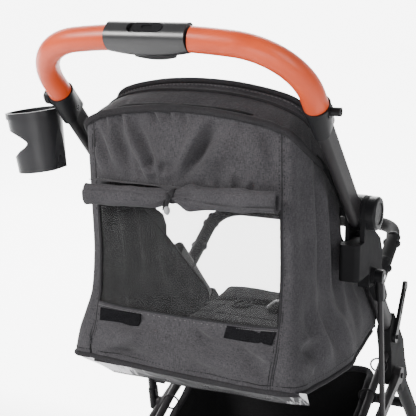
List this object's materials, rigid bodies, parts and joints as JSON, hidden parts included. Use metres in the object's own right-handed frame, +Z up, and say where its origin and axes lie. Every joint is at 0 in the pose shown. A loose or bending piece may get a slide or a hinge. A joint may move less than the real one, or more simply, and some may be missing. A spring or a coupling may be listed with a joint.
{
  "type": "pet stroller",
  "caption": "Compact folding pet stroller with a leather-sleeved handle, cup holder, hooded cabin with a mesh rear window, bumper bar, basket and caster wheels",
  "frame": {"origin": "on the floor, under the middle of the stroller's box", "axes": "+X to the pusher's right, +Y the way it travels, +Z up"},
  "size_m": [0.6143, 0.8889, 1.0217],
  "materials": {
    "leather": "satin",
    "tube": "satin anodised",
    "plastic": "satin",
    "bumper_foam": "soft matte",
    "steel": "plain",
    "fabric": "melange weave",
    "basket_cloth": "plain weave",
    "mesh": "open mesh",
    "board": "clear vinyl over board",
    "tyre": "matte"
  },
  "bodies": {
    "chassis": {"hub_left": "plastic", "hub_right": "plastic", "hub_covers": "plastic", "main_pins": "steel", "front_tube_left": "tube", "front_tube_right": "tube", "elbows": "plastic", "front_legs": "tube", "caster_sockets": "plastic", "basket_rails": "tube", "basket": "basket_cloth", "cabin_rear_wall": "fabric", "cabin_side_left": "fabric", "cabin_side_right": "fabric", "window_mesh": "mesh", "window_roll": "fabric", "floor_pan": "board", "seat_pad": "fabric", "bow_rear": "steel", "harness": "plastic", "bumper_sockets": "plastic", "struts": "tube", "strut_caps": "plastic"},
    "handle": {"handle_core_tube": "tube", "grip_left": "leather", "grip_right": "leather", "housing_rear_shell": "plastic", "housing_front_shell": "plastic", "collars": "plastic", "handle_leg_left": "tube", "handle_leg_right": "tube", "handle_sockets": "plastic", "accessory_studs": "plastic", "handle_screws": "steel", "release_wires": "steel"},
    "fold_slide": {"fold_slide_button": "plastic"},
    "fold_trigger": {"fold_trigger": "plastic"},
    "cup": {"cup_bracket": "plastic", "cup_holder": "plastic"},
    "rear_frame": {"rear_legs": "tube", "rear_beam": "tube", "axle_stubs": "steel"},
    "runner_left": {"strut_runner_left": "plastic"},
    "runner_right": {"strut_runner_right": "plastic"},
    "brake": {"brake_pedal": "plastic"},
    "rear_wheel_left": {"rear_wheel_left": "tyre"},
    "rear_wheel_right": {"rear_wheel_right": "tyre"},
    "caster_left": {"caster_fork_left": "plastic"},
    "caster_right": {"caster_fork_right": "plastic"},
    "front_wheel_left": {"front_wheel_left": "tyre"},
    "front_wheel_right": {"front_wheel_right": "tyre"},
    "backrest": {"backrest_pad": "fabric"},
    "leg_rest": {"leg_rest": "fabric"},
    "bumper": {"bumper_bar": "bumper_foam"},
    "bumper_button_left": {"bumper_button_left": "plastic"},
    "bumper_button_right": {"bumper_button_right": "plastic"},
    "canopy_mid": {"bow_mid": "steel"},
    "canopy_front": {"bow_front": "steel", "canopy_visor": "fabric"},
    "hook": {"transport_hook": "plastic"}
  },
  "joints": [
    {"name": "handle_fold", "type": "hinge", "parent": "chassis", "child": "handle", "pos_m": [0, -0.137, 0.731], "axis": [-1, 0, 0], "range_deg": [0, 150]},
    {"name": "rear_fold", "type": "hinge", "parent": "chassis", "child": "rear_frame", "pos_m": [0, 0.136, 0.371], "axis": [-1, 0, 0], "range_deg": [0, 25]},
    {"name": "runner_left", "type": "slide", "parent": "chassis", "child": "runner_left", "axis": [0, -0.1758, 0.9844], "range_m": [0, 0.0762]},
    {"name": "runner_right", "type": "slide", "parent": "chassis", "child": "runner_right", "axis": [0, -0.1758, 0.9844], "range_m": [0, 0.0762]},
    {"name": "fold_slide", "type": "slide", "parent": "handle", "child": "fold_slide", "axis": [-1, 0, 0], "range_m": [0, 0.008], "stiffness_N_per_m": 400},
    {"name": "fold_trigger", "type": "slide", "parent": "handle", "child": "fold_trigger", "axis": [0, -0.7071, 0.7071], "range_m": [0, 0.006], "stiffness_N_per_m": 800},
    {"name": "cup_tilt", "type": "hinge", "parent": "handle", "child": "cup", "pos_m": [-0.2235, -0.33237, 0.90615], "axis": [1, 0, 0], "range_deg": [-60, 60]},
    {"name": "canopy_mid", "type": "hinge", "parent": "chassis", "child": "canopy_mid", "pos_m": [0, -0.137, 0.731], "axis": [1, 0, 0], "range_deg": [-35, 0]},
    {"name": "canopy_front", "type": "hinge", "parent": "canopy_mid", "child": "canopy_front", "pos_m": [0, -0.137, 0.731], "axis": [1, 0, 0], "range_deg": [-45, 0]},
    {"name": "backrest_recline", "type": "hinge", "parent": "chassis", "child": "backrest", "pos_m": [0, -0.085, 0.4885], "axis": [-1, 0, 0], "range_deg": [0, 58]},
    {"name": "leg_rest_drop", "type": "hinge", "parent": "chassis", "child": "leg_rest", "pos_m": [0, 0.062, 0.466], "axis": [-1, 0, 0], "range_deg": [0, 70]},
    {"name": "bumper_release", "type": "slide", "parent": "chassis", "child": "bumper", "axis": [0, -0.8387, -0.5446], "range_m": [-0.062, 0]},
    {"name": "bumper_button_left", "type": "slide", "parent": "chassis", "child": "bumper_button_left", "axis": [0, -0.5446, 0.8387], "range_m": [0, 0.0025], "stiffness_N_per_m": 500},
    {"name": "bumper_button_right", "type": "slide", "parent": "chassis", "child": "bumper_button_right", "axis": [0, -0.5446, 0.8387], "range_m": [0, 0.0025], "stiffness_N_per_m": 500},
    {"name": "hook_turn", "type": "hinge", "parent": "chassis", "child": "hook", "pos_m": [0.19, 0.12, 0.449], "axis": [1, 0, 0], "range_deg": [0, 50]},
    {"name": "brake_press", "type": "hinge", "parent": "rear_frame", "child": "brake", "pos_m": [0, -0.208, 0.133], "axis": [1, 0, 0], "range_deg": [0, 22]},
    {"name": "caster_swivel_left", "type": "hinge", "parent": "chassis", "child": "caster_left", "pos_m": [-0.178, 0.39, 0.158], "axis": [0, 0, 1], "continuous": true},
    {"name": "caster_swivel_right", "type": "hinge", "parent": "chassis", "child": "caster_right", "pos_m": [0.178, 0.39, 0.158], "axis": [0, 0, 1], "continuous": true},
    {"name": "front_wheel_left", "type": "hinge", "parent": "caster_left", "child": "front_wheel_left", "pos_m": [-0.178, 0.366, 0.075], "axis": [1, 0, 0], "continuous": true},
    {"name": "front_wheel_right", "type": "hinge", "parent": "caster_right", "child": "front_wheel_right", "pos_m": [0.178, 0.366, 0.075], "axis": [1, 0, 0], "continuous": true},
    {"name": "rear_wheel_left", "type": "hinge", "parent": "rear_frame", "child": "rear_wheel_left", "pos_m": [-0.286, -0.245, 0.088], "axis": [1, 0, 0], "continuous": true},
    {"name": "rear_wheel_right", "type": "hinge", "parent": "rear_frame", "child": "rear_wheel_right", "pos_m": [0.286, -0.245, 0.088], "axis": [1, 0, 0], "continuous": true}
  ],
  "couplings": [
    {"joint": "rear_fold", "follows": "handle_fold", "ratio": 0.16666},
    {"joint": "runner_left", "follows": "handle_fold", "m_per_rad": 0.02903},
    {"joint": "runner_right", "follows": "handle_fold", "m_per_rad": 0.02903}
  ]
}
